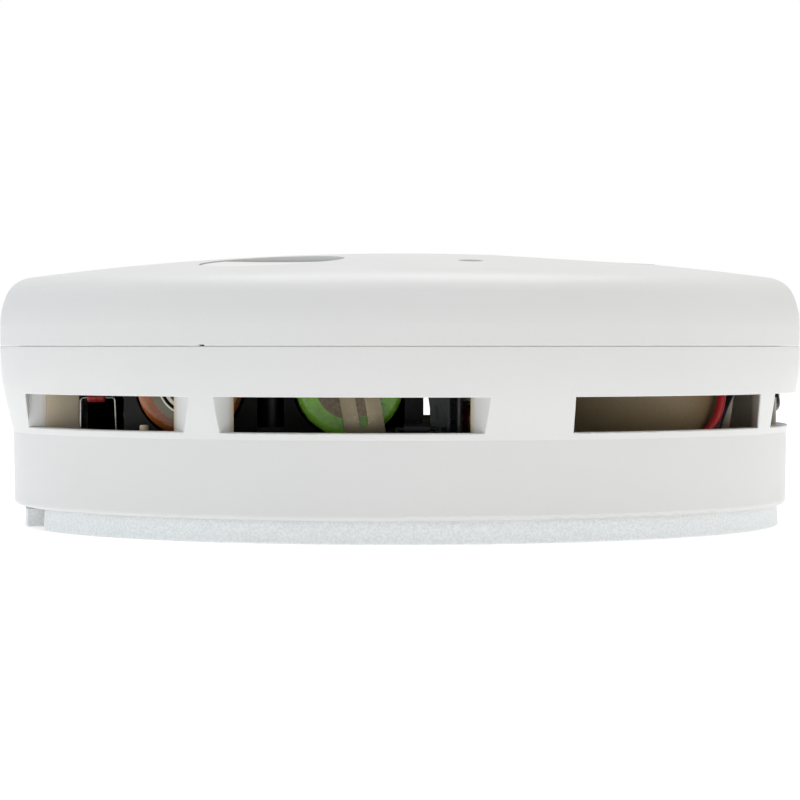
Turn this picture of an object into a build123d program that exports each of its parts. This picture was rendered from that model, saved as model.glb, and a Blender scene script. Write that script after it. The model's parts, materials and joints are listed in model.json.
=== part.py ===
from build123d import *
import os
from math import acos, cos, hypot, pi, radians, sin, sqrt, tan

# Battery smoke detector on its mounting plate, in millimetres.
# The origin is the centre of the plate's back face, and +Z points from the plate to the front cover.
# An angle is measured round +Z from -Y, the side of the two cell ends, towards +X.

# ---- Driving dimensions ----
SIDE_RADIUS = 57.5
SEAM_Z = 25.5
SEAM_GAP = 0.04
SEAM_GROOVE = 0.1
EDGE_ROUND = 0.3
MOVING_GAP = 0.3

PLATE_RADIUS = 54.3
PLATE_FLARE = 0.2
PLATE_DISC = 2.0
PLATE_RIM_TOP = 3.25
PLATE_RIM_WIDTH = 2.2
PLATE_NOTCH_CORNER = 0.9
PLATE_HOLE_RADIUS = 14.0
PLATE_RIB_RADIUS = 40.0
FIXING_SPACING = 60.0
FIXING_RADIUS = 2.25
FIXING_SLOT_LENGTH = 12.0
HOOK_ANGLES = (0.0, 120.0, 240.0)
HOOK_SPREAD = 12.0
HOOK_INNER = 47.0
HOOK_STEM = 2.0
HOOK_REACH = 52.0

TAB_NOTCH_START = -102.5
TAB_NOTCH_END = -64.2
TAB_NOTCH_INNER = 47.3
TAB_INNER = 49.5
TAB_OUTER = 51.5
TAB_PAD_OUTER = 54.0
TAB_ROOT_ANGLE = -101.0
TAB_PAD_START = -88.0
TAB_FREE_ANGLE = -77.0
TAB_TOP = 2.5
TAB_TOOTH_TOP = 3.9
KNUCKLE_RADIUS = 1.2
KNUCKLE_CLEARANCE = 0.1
KNUCKLE_WALL = 1.5
TAB_NECK_HALF = 0.6

HOUSING_BOTTOM = 3.05
HOUSING_UNDERSIDE = PLATE_RIM_TOP + MOVING_GAP
HOUSING_LIP_INNER = 54.75
HOUSING_FOOT_RADIUS = 55.55
HOUSING_KNEE_RADIUS = 55.66
HOUSING_KNEE_Z = 13.4
HOUSING_FOOT_ROUND = 0.7
HOUSING_BULGE_RADIUS = 34.0
HOUSING_BULGE_ANGLE = 14.4
HOUSING_BULGE_TOP = SEAM_Z - 0.5
HOUSING_INNER_LOW = 53.4
HOUSING_INNER_HIGH = 55.1
HOUSING_INNER_TURN = 19.6
HOUSING_INNER_STEP = 22.0
LEAD_POCKET = (52.5, 55.2, 74, 97, 18.85, 22.2)
FLOOR_LOW = 6.0
FLOOR_TOP = 8.0
LEDGE_TOP = 4.5
LEDGE_INNER = 49.5

VENT_LOW = 14.35
VENT_HIGH = 18.95
VENT_ROUND = 0.15
RIM_BAND = 0.5
VENT_BEYOND = 64.0
VENT_OUTER = 56.2
VENT_INNER = 53.6
VENT_REACH = 3.0
PIN_AT = (-33.9, -40.0)
PIN_RADIUS = 0.6
PIN_TOP = 15.05
LEAD_RIB_TOP = 18.2
PARTITION = (-53.0, -44.3, -22.6, -21.4)
PARTITION_TOP = 22.0
SEAM_NOTCH_ANGLE = -26.4
# Each vent: start and end on the outside, then how far each end leans in towards the inside, in degrees.
VENTS = (
    (-65.8, -29.7, -4.8, 3.7),
    (-24.8, 11.4, 0.9, 1.5),
    (23.6, 60.4, 0.5, -4.4),
    (65.7, 98.7, 3.0, 0.0),
    (112.5, 146.0, 0.0, 0.0),
    (152.0, 188.0, 0.0, 0.0),
    (194.0, 226.0, 0.0, 0.0),
)

COVER_WALL = 2.2
COVER_SIDE = 3.0
SHOULDER_LOW_RADIUS = 10.8
SHOULDER_LOW_ANGLE = 22.9
SHOULDER_HIGH_RADIUS = 4.1
DOME_RADIUS = 400.0
SKIRT_OUTER = 54.8
SKIRT_THICKNESS = 1.3
SKIRT_DROP = 2.5

POST_ANGLES = (17.5, 149.0, -90.0)
POST_CIRCLE = 48.5
POST_RADIUS = 3.2
POST_PILOT = 1.2
COVER_SCREW_CLEARANCE = 1.7
COVER_SCREW_RADIUS = 1.15
COVER_SCREW_HEAD_RADIUS = 2.7
COVER_SCREW_HEAD = 1.7
COVER_SCREW_TIP = 20.0

BOARD_RADIUS = 51.5
BOARD_LOW = 9.5
BOARD_TOP = 11.1
BOARD_SCREW_PILOT = 1.05
BOARD_SCREW_HOLE = 1.45
BOARD_SCREWS = ((-44.0, 11.0), (10.0, 44.0), (44.0, 20.0))

CELL_RADIUS = 7.15
CELL_LENGTH = 49.2
NUB_LENGTH = 1.3
NUB_RADIUS = 2.7
SEAL_OUTER = 4.0
SEAL_INNER = 3.6
SLEEVE_THICKNESS = 0.25
CELL_END_ROUND = 0.9
CELL_Z = 20.5
GREEN_LIP_RADIUS = 4.65
ORANGE_LIP_RADIUS = 5.3
GREEN_YAW = 4.0
ORANGE_STRIP_SHIFT = 0.95
GREEN_X = -6.6
GREEN_FRONT_Y = -41.8
ORANGE_X = -28.0
ORANGE_FRONT_Y = -38.0
STRIP_THICKNESS = 0.4
STRIP_WIDTH = 5.3
STRIP_SLOT = 0.6
STRIP_SLOT_LOW = 15.3
GREEN_STRIP_TILT = -9.5
GREEN_STRIP_SHIFT = 0.95

HOLDER_FLOOR_TOP = 12.9
HOLDER_WALL = 1.4
HOLDER_WALL_TOP = 22.0
HOLDER_RIB = (0.65, 3.1, -41.0, -24.0)
HOLDER_RIB_TOP = 23.5

CHAMBER_AT = (-17.0, 31.8)
CHAMBER_RADIUS = 15.5
CHAMBER_CAP_LOW = 25.5
CHAMBER_FLOOR = 1.6
VANE_COUNT = 16
VANE_DEPTH = 4.2
VANE_HALF = 0.4
OPTIC_CIRCLE = 6.5
OPTIC_ANGLE = 130.0
SCREEN_RADIUS = 52.0
SCREEN_THICKNESS = 0.4
SCREEN_START = 190.0
SCREEN_END = 246.0
SCREEN_TOP = 21.5
SCREEN_HOLE = 0.55

HORN_AT = (25.5, -12.0)
HORN_RADIUS = 21.75
HORN_FOOT_RADIUS = 20.5
HORN_FLARE_TOP = 20.0
HORN_WALL = 1.5
HORN_TOP = 29.0
HORN_SEAT_Z = 22.0
GRILLE_AT = (24.5, -12.0)
GRILLE_RADIUS = 11.5
GRILLE_SLOPE = (-0.0505, 0.03)
GRILLE_HEIGHT = 37.6
GRILLE_THICKNESS = 2.0
GRILLE_BAR_PITCH = 2.88
GRILLE_SLOT_WIDTH = 1.5

BUTTON_AT = (-17.3, -32.0)
BUTTON_RADIUS = 9.5
BUTTON_GAP = 0.35
BUTTON_ROD_RADIUS = 2.0
ROD_CLEARANCE = 0.08
WELL_FLOOR_TOP = 30.6
WELL_FLOOR = 1.2
SLEEVE_BOTTOM = 27.4
SWITCH_BODY_TOP = 14.6
PLUNGER_TOP = 21.0
PLUNGER_RADIUS = 1.75
BUTTON_TRAVEL = 0.8

PIPE_AT = (9.4, -37.0)
PIPE_RADIUS = 1.6
LEAD_RADIUS = 0.6
PIEZO_RADIUS = 17.5

# Each capacitor: x, y, radius and top.
CAPACITORS = ((6.3, -40.6, 2.0, 20.0), (14.0, 22.0, 4.0, 22.0), (24.0, 27.0, 2.5, 18.0))
LINK_LEFT = -43.7
LINK_RIGHT = -39.0
LINK_Y = -26.0
LINK_TOP = 18.6
LINK_WIRE = 0.15
LINK_BEND = 0.5
LINK_BODY = (-42.8, -40.3)
LINK_BODY_RADIUS = 0.62
RESISTORS = ((34.0, 20.0), (34.0, 23.0), (34.0, 26.0), (18.0, 31.0), (18.0, 34.0))
COIL_AT = (32.0, 33.0)
TRIMMER_X = (3.92, 6.32)
TRIMMER_Y = (-45.4, -43.4)
TRIMMER_LOW = 14.85
TRIMMER_TOP = 20.0
DIODE_AT = (2.2, -47.2)
DIODE_Z = 14.7

# ---- Worked out from the dimensions above: the centres of the cover's shoulder arcs and of its dome ----
SHOULDER_TURN = radians(SHOULDER_LOW_ANGLE)
SHOULDER_SHIFT = SHOULDER_LOW_RADIUS - SHOULDER_HIGH_RADIUS
LOW_CENTRE_R = SIDE_RADIUS - SHOULDER_LOW_RADIUS
LOW_CENTRE_Z = SEAM_Z + COVER_SIDE
HIGH_CENTRE_R = LOW_CENTRE_R + SHOULDER_SHIFT * cos(SHOULDER_TURN)
HIGH_CENTRE_Z = LOW_CENTRE_Z + SHOULDER_SHIFT * sin(SHOULDER_TURN)
DOME_REACH = DOME_RADIUS - SHOULDER_HIGH_RADIUS
DOME_ANGLE = acos(HIGH_CENTRE_R / DOME_REACH)
DOME_CENTRE_Z = HIGH_CENTRE_Z - DOME_REACH * sin(DOME_ANGLE)
ALL_THROUGH = 60.0

os.makedirs("parts", exist_ok=True)


# ---- Small helpers ----
def polar(radius, angle):
    return (radius * sin(radians(angle)), -radius * cos(radians(angle)))


def rod(radius, low, high, at=(0.0, 0.0)):
    align = (Align.CENTER, Align.CENTER, Align.MIN)
    return Pos(at[0], at[1], low) * Cylinder(radius, high - low, align=align)


def tube(outer, inner, low, high, at=(0.0, 0.0)):
    return rod(outer, low, high, at) - rod(inner, low - 1, high + 1, at)


def block(x0, x1, y0, y1, z0, z1):
    centre = Pos((x0 + x1) / 2, (y0 + y1) / 2, (z0 + z1) / 2)
    return centre * Box(x1 - x0, y1 - y0, z1 - z0)


def upright(edges, low, high):
    face = make_face(edges)
    return Pos(0, 0, low) * extrude(face, high - low, dir=(0, 0, 1))


def sector(inner, outer, start, end, low, high):
    """A piece of a ring between two angles."""
    middle = (start + end) / 2
    edges = [
        ThreePointArc(polar(outer, start), polar(outer, middle), polar(outer, end)),
        Line(polar(outer, end), polar(inner, end)),
        ThreePointArc(polar(inner, end), polar(inner, middle), polar(inner, start)),
        Line(polar(inner, start), polar(outer, start)),
    ]
    return upright(edges, low, high)


def turned(edges):
    """A solid of revolution about Z from edges in (radius, z)."""
    return revolve(Plane.XZ * make_face(edges), Axis.Z)


def lying_rod(radius, x, z, y0, y1):
    """A cylinder along Y."""
    start = Plane((x, y0, z), x_dir=(1, 0, 0), z_dir=(0, 1, 0))
    return extrude(start * Circle(radius), y1 - y0)


def along_x(radius, x0, x1, y, z):
    start = Plane((x0, y, z), x_dir=(0, 1, 0), z_dir=(1, 0, 0))
    return extrude(start * Circle(radius), x1 - x0)


# ---- Mounting plate and its release tab ----
def hinge_point():
    return polar((TAB_INNER + TAB_OUTER) / 2, TAB_ROOT_ANGLE)


def mounting_plate():
    foot = PLATE_RADIUS + PLATE_FLARE
    inner = PLATE_RADIUS - PLATE_RIM_WIDTH
    plate = turned([
        Line((PLATE_HOLE_RADIUS, 0), (foot - EDGE_ROUND, 0)),
        ThreePointArc(
            (foot - EDGE_ROUND, 0),
            (foot - EDGE_ROUND * (1 - sqrt(0.5)), EDGE_ROUND * (1 - sqrt(0.5))),
            (foot, EDGE_ROUND),
        ),
        Line((foot, EDGE_ROUND), (PLATE_RADIUS, PLATE_RIM_TOP)),
        Line((PLATE_RADIUS, PLATE_RIM_TOP), (inner, PLATE_RIM_TOP)),
        Line((inner, PLATE_RIM_TOP), (inner, PLATE_DISC)),
        Line((inner, PLATE_DISC), (PLATE_HOLE_RADIUS, PLATE_DISC)),
        Line((PLATE_HOLE_RADIUS, PLATE_DISC), (PLATE_HOLE_RADIUS, 0)),
    ])
    rib_top = PLATE_DISC + 0.8
    plate += tube(PLATE_RIB_RADIUS, PLATE_RIB_RADIUS - 1.6, PLATE_DISC - 0.5, rib_top)
    plate += tube(PLATE_HOLE_RADIUS + 1.6, PLATE_HOLE_RADIUS, PLATE_DISC - 0.5, rib_top)
    outer = HOOK_INNER + HOOK_STEM
    hook_top = FLOOR_LOW - MOVING_GAP
    for angle in HOOK_ANGLES:
        start = angle - HOOK_SPREAD / 2
        end = angle + HOOK_SPREAD / 2
        plate += sector(HOOK_INNER, outer, start, end, PLATE_DISC - 0.5, hook_top)
        plate += sector(outer - 0.5, HOOK_REACH, start, end, LEDGE_TOP + MOVING_GAP, hook_top)
    plate -= sector(TAB_NOTCH_INNER, foot + 2, TAB_NOTCH_START, TAB_NOTCH_END, -1, HOUSING_BOTTOM)
    plate += rod(KNUCKLE_RADIUS + KNUCKLE_WALL, 0, PLATE_DISC, hinge_point())
    plate -= rod(KNUCKLE_RADIUS + KNUCKLE_CLEARANCE, -1, HOUSING_BOTTOM, hinge_point())
    mouth_inner = TAB_INNER - MOVING_GAP
    plate -= sector(mouth_inner, TAB_OUTER, TAB_ROOT_ANGLE + 0.5, TAB_ROOT_ANGLE + 4, -1, HOUSING_BOTTOM)
    corner = Rot(0, 0, TAB_NOTCH_END) * Rot(0, 45, 0) * Box(PLATE_NOTCH_CORNER, 8, PLATE_NOTCH_CORNER)
    plate -= Pos(*polar(PLATE_RADIUS - 1, TAB_NOTCH_END), 0) * corner
    half = FIXING_SPACING / 2
    reach = (FIXING_SLOT_LENGTH - 2 * FIXING_RADIUS) / 2
    for side in (-1, 1):
        slot = block(side * half - reach, side * half + reach, -FIXING_RADIUS, FIXING_RADIUS, -1, 4)
        slot += rod(FIXING_RADIUS, -1, 4, (side * half - reach, 0))
        slot += rod(FIXING_RADIUS, -1, 4, (side * half + reach, 0))
        plate -= slot
        plate -= rod(FIXING_RADIUS, -1, 4, (0, side * half))
    return plate


def release_tab():
    pivot = hinge_point()
    tab = sector(TAB_INNER, TAB_OUTER, TAB_ROOT_ANGLE + 1, TAB_FREE_ANGLE, 0, TAB_TOP)
    tab += sector(TAB_INNER, TAB_PAD_OUTER, TAB_PAD_START, TAB_FREE_ANGLE, 0, TAB_TOP)
    tab += sector(TAB_INNER, TAB_OUTER, TAB_FREE_ANGLE - 3, TAB_FREE_ANGLE, TAB_TOP - 0.5, TAB_TOOTH_TOP)
    tab -= rod(KNUCKLE_RADIUS + KNUCKLE_WALL + MOVING_GAP, -1, TAB_TOP + 1, pivot)
    middle = (TAB_INNER + TAB_OUTER) / 2
    inner = middle - TAB_NECK_HALF
    outer = middle + TAB_NECK_HALF
    tab += sector(inner, outer, TAB_ROOT_ANGLE, TAB_ROOT_ANGLE + 6, 0, PLATE_DISC)
    tab += rod(KNUCKLE_RADIUS, 0, PLATE_DISC, pivot)
    return tab


# ---- Housing and front cover ----
def housing_outline():
    """The outer side of the housing, from its foot up to the seam, as edges in (radius, z)."""
    foot = HOUSING_FOOT_RADIUS
    corner = HOUSING_FOOT_ROUND
    inset = corner * (1 - sqrt(0.5))
    centre = SIDE_RADIUS - HOUSING_BULGE_RADIUS
    angle = radians(HOUSING_BULGE_ANGLE)
    bulge_low = on_arc(centre, HOUSING_BULGE_TOP, HOUSING_BULGE_RADIUS, -angle)
    bulge_mid = on_arc(centre, HOUSING_BULGE_TOP, HOUSING_BULGE_RADIUS, -angle / 2)
    top = SEAM_Z - SEAM_GAP / 2
    return [
        Line((HOUSING_LIP_INNER, HOUSING_BOTTOM), (foot - corner, HOUSING_BOTTOM)),
        ThreePointArc(
            (foot - corner, HOUSING_BOTTOM),
            (foot - inset, HOUSING_BOTTOM + inset),
            (foot, HOUSING_BOTTOM + corner),
        ),
        Line((foot, HOUSING_BOTTOM + corner), (HOUSING_KNEE_RADIUS, HOUSING_KNEE_Z)),
        Line((HOUSING_KNEE_RADIUS, HOUSING_KNEE_Z), bulge_low),
        ThreePointArc(bulge_low, bulge_mid, (SIDE_RADIUS, HOUSING_BULGE_TOP)),
        Line((SIDE_RADIUS, HOUSING_BULGE_TOP), (SIDE_RADIUS, top - SEAM_GROOVE)),
        Line((SIDE_RADIUS, top - SEAM_GROOVE), (SIDE_RADIUS - SEAM_GROOVE, top)),
    ]


def vent_side(angle, lean):
    """One end of a vent: the line through its outer and inner corners, drawn past both faces."""
    outer = Vector(*polar(VENT_OUTER, angle))
    inner = Vector(*polar(VENT_INNER, angle + lean))
    step = (outer - inner).normalized()
    return outer + step * VENT_REACH, inner - step * VENT_REACH


def vent_cut(start, end, lean_start, lean_end):
    """A slot through the wall; the leans close it in from the wall's outside to its inside."""
    start_outer, start_inner = vent_side(start, lean_start)
    end_outer, end_inner = vent_side(end, -lean_end)
    middle = (start + end) / 2
    corners = [
        start_outer,
        Vector(*polar(VENT_BEYOND, middle - 8)),
        Vector(*polar(VENT_BEYOND, middle + 8)),
        end_outer,
        end_inner,
        start_inner,
    ]
    return upright(Polyline(*corners, close=True).edges(), VENT_LOW, VENT_HIGH)


def vent_rims(shell):
    """The edges where the vents break through the outer surface."""
    rims = ShapeList()
    for edge in shell.edges():
        spot = edge.center()
        box = edge.bounding_box()
        in_vent = box.min.Z > VENT_LOW - 0.01 and box.max.Z < VENT_HIGH + 0.01
        if in_vent and hypot(spot.X, spot.Y) > VENT_OUTER - RIM_BAND:
            rims.append(edge)
    return rims


def housing():
    top = SEAM_Z - SEAM_GAP / 2
    inner_edge = [
        Line((SIDE_RADIUS - SEAM_GROOVE, top), (HOUSING_INNER_HIGH, top)),
        Line((HOUSING_INNER_HIGH, top), (HOUSING_INNER_HIGH, HOUSING_INNER_STEP)),
        Line((HOUSING_INNER_HIGH, HOUSING_INNER_STEP), (HOUSING_INNER_LOW, HOUSING_INNER_TURN)),
        Line((HOUSING_INNER_LOW, HOUSING_INNER_TURN), (HOUSING_INNER_LOW, HOUSING_UNDERSIDE)),
        Line((HOUSING_INNER_LOW, HOUSING_UNDERSIDE), (HOUSING_LIP_INNER, HOUSING_UNDERSIDE)),
        Line((HOUSING_LIP_INNER, HOUSING_UNDERSIDE), (HOUSING_LIP_INNER, HOUSING_BOTTOM)),
    ]
    shell = turned(housing_outline() + inner_edge)
    shell += rod(HOUSING_INNER_LOW + 0.5, FLOOR_LOW, FLOOR_TOP)
    for vent in VENTS:
        shell -= vent_cut(*vent)
    shell = fillet(vent_rims(shell), VENT_ROUND)
    shell -= sector(*LEAD_POCKET)
    for angle in HOOK_ANGLES:
        start = angle - HOOK_SPREAD / 2
        end = angle + HOOK_SPREAD / 2
        shell += sector(LEDGE_INNER, HOUSING_INNER_LOW + 0.5, start, end, HOUSING_UNDERSIDE, LEDGE_TOP)
    for angle in POST_ANGLES:
        shell -= rod(COVER_SCREW_CLEARANCE, FLOOR_LOW - 1, FLOOR_TOP + 1, polar(POST_CIRCLE, angle))
    for place in BOARD_SCREWS:
        shell += tube(2.6, BOARD_SCREW_PILOT, FLOOR_TOP - 0.5, BOARD_LOW, place)
        shell -= rod(BOARD_SCREW_PILOT, FLOOR_LOW + 0.8, BOARD_LOW, place)
    shell += rod(PIN_RADIUS, FLOOR_TOP - 0.5, PIN_TOP - 0.3, PIN_AT)
    shell += Pos(*PIN_AT, PIN_TOP - 0.3) * (Sphere(PIN_RADIUS) & block(-1, 1, -1, 1, -1, 0.3))
    shell += sector(HOUSING_INNER_LOW - 0.1, 54.2, 80.5, 83.5, FLOOR_TOP - 0.5, LEAD_RIB_TOP)
    shell += block(*PARTITION, FLOOR_TOP - 0.5, PARTITION_TOP) & rod(HOUSING_INNER_LOW + 0.3, 0, 30)
    return shell


def on_arc(centre_r, centre_z, radius, angle):
    return (centre_r + radius * cos(angle), centre_z + radius * sin(angle))


def cover_body(offset, low):
    """The cover's solid outer form shrunk by offset: side, two shoulder arcs and a shallow dome."""
    side = SIDE_RADIUS - offset
    low_radius = SHOULDER_LOW_RADIUS - offset
    high_radius = SHOULDER_HIGH_RADIUS - offset
    dome = DOME_RADIUS - offset
    low_mid = on_arc(LOW_CENTRE_R, LOW_CENTRE_Z, low_radius, SHOULDER_TURN / 2)
    low_end = on_arc(LOW_CENTRE_R, LOW_CENTRE_Z, low_radius, SHOULDER_TURN)
    high_mid = on_arc(HIGH_CENTRE_R, HIGH_CENTRE_Z, high_radius, (SHOULDER_TURN + DOME_ANGLE) / 2)
    high_end = on_arc(HIGH_CENTRE_R, HIGH_CENTRE_Z, high_radius, DOME_ANGLE)
    dome_mid = on_arc(0, DOME_CENTRE_Z, dome, (DOME_ANGLE + pi / 2) / 2)
    crown = (0, DOME_CENTRE_Z + dome)
    return turned([
        Line((0, low), (side, low)),
        Line((side, low), (side, LOW_CENTRE_Z)),
        ThreePointArc((side, LOW_CENTRE_Z), low_mid, low_end),
        ThreePointArc(low_end, high_mid, high_end),
        ThreePointArc(high_end, dome_mid, crown),
        Line(crown, (0, low)),
    ])


def dome_height(x, y, offset=0.0):
    """The height of the dome, or of the surface that lies offset inside it."""
    return DOME_CENTRE_Z + sqrt((DOME_RADIUS - offset) ** 2 - x**2 - y**2)


def grille_tilt():
    """The flat face of the horn grille, sunk into the dome except at its outer end."""
    x, y = GRILLE_AT
    slope_x, slope_y = GRILLE_SLOPE
    return Plane((x, y, GRILLE_HEIGHT), x_dir=(1, 0, slope_x), z_dir=(-slope_x, -slope_y, 1))


def front_cover():
    bottom = SEAM_Z + SEAM_GAP / 2
    x, y = BUTTON_AT
    inside = cover_body(COVER_WALL, bottom - 5)
    shell = cover_body(0, bottom) - inside
    skirt_low = SEAM_Z - SKIRT_DROP
    shell += tube(SKIRT_OUTER, SKIRT_OUTER - SKIRT_THICKNESS, skirt_low, bottom + 1.5)
    shell += tube(SIDE_RADIUS - 1, SKIRT_OUTER - SKIRT_THICKNESS, bottom, bottom + 1.5)
    post_cores = Part()
    for angle in POST_ANGLES:
        post_cores += rod(POST_RADIUS, FLOOR_TOP + 0.1, ALL_THROUGH, polar(POST_CIRCLE, angle))
    well_radius = BUTTON_RADIUS + BUTTON_GAP
    well_low = WELL_FLOOR_TOP - WELL_FLOOR
    inner_form = cover_body(COVER_WALL / 2, FLOOR_TOP)
    shell += post_cores & inner_form
    shell += rod(well_radius + 1.2, well_low, ALL_THROUGH, BUTTON_AT) & inner_form
    shell += rod(BUTTON_ROD_RADIUS + 1.4, SLEEVE_BOTTOM, WELL_FLOOR_TOP, BUTTON_AT)
    shell -= rod(well_radius, WELL_FLOOR_TOP, ALL_THROUGH, BUTTON_AT)
    shell -= rod(BUTTON_ROD_RADIUS + ROD_CLEARANCE, SLEEVE_BOTTOM - 1, ALL_THROUGH, BUTTON_AT)
    plane = grille_tilt()
    shell -= plane * Pos(0, 0, 2) * Cylinder(GRILLE_RADIUS, 4)
    shell += plane * Pos(0, 0, -GRILLE_THICKNESS / 2) * Cylinder(GRILLE_RADIUS, GRILLE_THICKNESS)
    for row in range(-3, 4):
        across = row * GRILLE_BAR_PITCH
        half = sqrt((GRILLE_RADIUS - 1.8) ** 2 - across**2)
        slot = Pos(across, 0, 0) * Box(GRILLE_SLOT_WIDTH, 2 * half - GRILLE_SLOT_WIDTH, 12)
        shell -= plane * slot
        for end in (-1, 1):
            along = end * (half - GRILLE_SLOT_WIDTH / 2)
            round_end = Pos(across, along, 0) * Cylinder(GRILLE_SLOT_WIDTH / 2, 12)
            shell -= plane * round_end
    shell -= rod(PIPE_RADIUS + 0.1, SEAM_Z, ALL_THROUGH, PIPE_AT)
    for angle in POST_ANGLES:
        shell -= rod(POST_PILOT, 0, COVER_SCREW_TIP + 2, polar(POST_CIRCLE, angle))
    notch = Rot(0, 0, SEAM_NOTCH_ANGLE) * Box(0.8, 2 * (SIDE_RADIUS - SKIRT_OUTER - 0.1), 0.36)
    shell -= Pos(*polar(SIDE_RADIUS, SEAM_NOTCH_ANGLE), bottom) * notch
    rim = shell.edges().filter_by_position(Axis.Z, bottom - 0.01, bottom + 0.01)
    rim = rim.filter_by(GeomType.CIRCLE).sort_by(SortBy.RADIUS)[-1:]
    return chamfer(rim, SEAM_GROOVE)


def test_button():
    top = dome_height(*BUTTON_AT)
    cap = rod(BUTTON_RADIUS, WELL_FLOOR_TOP + 3.4, ALL_THROUGH, BUTTON_AT) & cover_body(0.15, FLOOR_TOP)
    dish_radius = 42.0
    depth = 1.1
    cap -= Pos(BUTTON_AT[0], BUTTON_AT[1], top - depth + dish_radius) * Sphere(dish_radius)
    cap += tube(BUTTON_RADIUS, BUTTON_RADIUS - 1.2, WELL_FLOOR_TOP + 1.6, WELL_FLOOR_TOP + 3.6, BUTTON_AT)
    cap += rod(BUTTON_ROD_RADIUS, PLUNGER_TOP + 0.1, WELL_FLOOR_TOP + 4, BUTTON_AT)
    return cap


def button_spring():
    low = WELL_FLOOR_TOP + 0.05
    high = WELL_FLOOR_TOP + 3.35
    wire = 0.25
    turns = 4
    pitch = (high - low - 2 * wire) / turns
    path = Helix(pitch=pitch, height=pitch * turns, radius=3.2)
    start = Plane(path @ 0, x_dir=(1, 0, 0), z_dir=path % 0)
    coil = sweep(start * Circle(wire), path=path, is_frenet=True)
    return Pos(BUTTON_AT[0], BUTTON_AT[1], low + wire) * coil


def light_pipe():
    x, y = PIPE_AT
    pipe = rod(PIPE_RADIUS, 18.2, dome_height(x, y) - 0.2, PIPE_AT)
    underside = dome_height(x, y) - COVER_WALL
    pipe += rod(PIPE_RADIUS + 0.9, underside - 3.2, underside - 1.6, PIPE_AT)
    return pipe


def cover_screws():
    group = []
    for angle in POST_ANGLES:
        place = polar(POST_CIRCLE, angle)
        screw = rod(COVER_SCREW_HEAD_RADIUS, FLOOR_LOW - COVER_SCREW_HEAD, FLOOR_LOW, place)
        screw += rod(COVER_SCREW_RADIUS, FLOOR_LOW - 0.5, COVER_SCREW_TIP, place)
        for turn in (0, 90):
            cross = Rot(0, 0, turn) * Box(3.0, 0.6, 1.6)
            screw -= Pos(place[0], place[1], FLOOR_LOW - COVER_SCREW_HEAD) * cross
        group.append(screw)
    return Compound(children=group)


# ---- Circuit board and what stands on it ----
def circuit_board():
    board = rod(BOARD_RADIUS, BOARD_LOW, BOARD_TOP)
    for angle in POST_ANGLES:
        board -= rod(POST_RADIUS + 0.4, 0, 20, polar(POST_CIRCLE, angle))
        board -= rod(POST_RADIUS + 0.4, 0, 20, polar(BOARD_RADIUS, angle))
    for place in BOARD_SCREWS:
        board -= rod(BOARD_SCREW_HOLE, 0, 20, place)
    board -= rod(PIN_RADIUS + 0.4, 0, 20, PIN_AT)
    x0, x1, y0, y1 = PARTITION
    board -= block(x0, x1 + 0.4, y0 - 0.4, y1 + 0.4, 0, 20)
    return board


def board_screws():
    group = []
    for place in BOARD_SCREWS:
        screw = rod(2.3, BOARD_TOP, BOARD_TOP + 1.5, place)
        screw += rod(BOARD_SCREW_PILOT - 0.05, FLOOR_LOW + 1.4, BOARD_TOP + 0.5, place)
        for turn in (0, 90):
            screw -= Pos(place[0], place[1], BOARD_TOP + 1.5) * Rot(0, 0, turn) * Box(2.4, 0.5, 1.4)
        group.append(screw)
    return Compound(children=group)


def green_turn():
    """The green cell lies slightly turned, about the middle of its front end."""
    return Pos(GREEN_X, GREEN_FRONT_Y, 0) * Rot(0, 0, GREEN_YAW) * Pos(-GREEN_X, -GREEN_FRONT_Y, 0)


def battery_holder():
    left = ORANGE_X - CELL_RADIUS - 0.35
    right = GREEN_X + CELL_RADIUS - 0.6
    front = GREEN_FRONT_Y + 0.6
    back = 14.6
    low = BOARD_TOP
    tray = block(left - HOLDER_WALL, right, -36.4, back, low, HOLDER_WALL_TOP)
    tray += block(GREEN_X - CELL_RADIUS, HOLDER_RIB[1], front, -36, low, HOLDER_FLOOR_TOP)
    tray += block(*HOLDER_RIB, low, HOLDER_RIB_TOP)
    tray += block(right - 1, HOLDER_RIB[0] + 0.4, back - HOLDER_WALL, back, low, HOLDER_WALL_TOP)
    for x, turn in ((ORANGE_X, Rot()), (GREEN_X, green_turn())):
        tray -= turn * lying_rod(CELL_RADIUS + 0.35, x, CELL_Z, -60, back - 2.0)
        tray -= turn * block(x - CELL_RADIUS - 0.35, x + CELL_RADIUS + 0.35, -60, back - 2.0, CELL_Z, 40)
    gap_left = ORANGE_X + CELL_RADIUS + 0.35 + HOLDER_WALL
    gap_right = GREEN_X - CELL_RADIUS - 0.35 - HOLDER_WALL
    tray -= block(gap_left, gap_right, -60, back - HOLDER_WALL, low - 1, 40)
    tray -= block(right - 3.2, HOLDER_RIB[0], -60, back - 6, HOLDER_FLOOR_TOP + 0.6, 40)
    tray += block(gap_left - 1, gap_right + 1, back - 6, back - 4, low, HOLDER_WALL_TOP - 6)
    strip_y = ORANGE_FRONT_Y + CELL_LENGTH
    tray -= block(ORANGE_X - 4, GREEN_X + 4, strip_y, strip_y + 0.7, CELL_Z - 3.5, 40)
    x, y = BUTTON_AT
    tray -= block(x - 3.3, x + 3.3, y - 3.4, y + 3.4, low - 1, 40)
    return tray


def rounded_cell(x, front_y, inset):
    """A cell's outer form shrunk by inset, with its end edges rounded."""
    form = lying_rod(CELL_RADIUS - inset, x, CELL_Z, front_y + inset, front_y + CELL_LENGTH - inset)
    return fillet(form.edges().filter_by(GeomType.CIRCLE), CELL_END_ROUND - inset)


def cell_sleeve(x, front_y, lip_radius):
    """The plastic sleeve, with its lips folded over both ends of the can."""
    sleeve = rounded_cell(x, front_y, 0) - rounded_cell(x, front_y, SLEEVE_THICKNESS)
    return sleeve - lying_rod(lip_radius, x, CELL_Z, front_y - 1, front_y + CELL_LENGTH + 1)


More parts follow.
